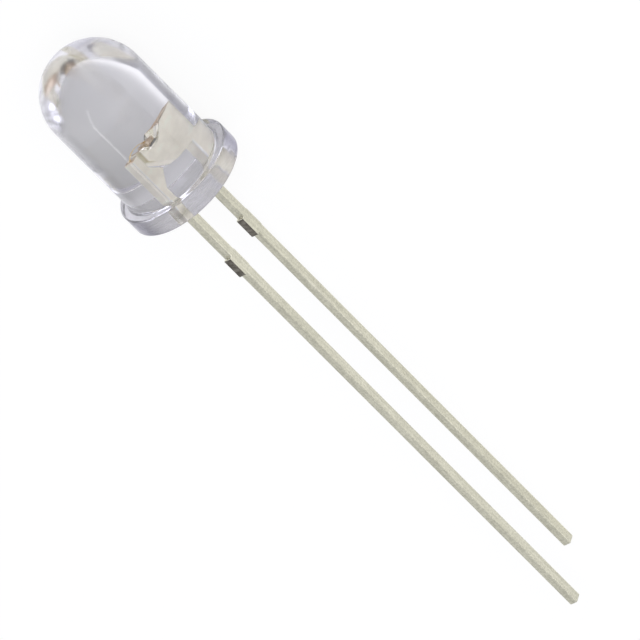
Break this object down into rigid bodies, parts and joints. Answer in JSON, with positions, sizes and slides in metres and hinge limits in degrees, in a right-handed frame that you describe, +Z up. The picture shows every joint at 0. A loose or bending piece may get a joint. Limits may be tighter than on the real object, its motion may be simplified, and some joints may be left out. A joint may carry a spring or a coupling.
{
  "type": "through hole led",
  "caption": "Clear round-topped light-emitting diode with a flanged epoxy lens, a reflector-cup lead frame inside and unequal straight leads.",
  "frame": {"origin": "middle of the lying lamp's box, on the surface it rests on", "axes": "+Z up, +X towards the dome along the lamp as it lies, +Y to its side across the leads"},
  "size_m": [0.0364, 0.0058, 0.0057],
  "materials": {
    "clear_epoxy": "gloss",
    "tinned_lead": "satin",
    "silver_adhesive": "matte",
    "chip": "satin",
    "bond_metal": "polished"
  },
  "bodies": {
    "root": {"lens": "clear_epoxy", "cathode_lead": "tinned_lead", "anode_lead": "tinned_lead", "die_attach": "silver_adhesive", "led_chip": "chip", "bond_wire": "bond_metal"}
  },
  "joints": []
}
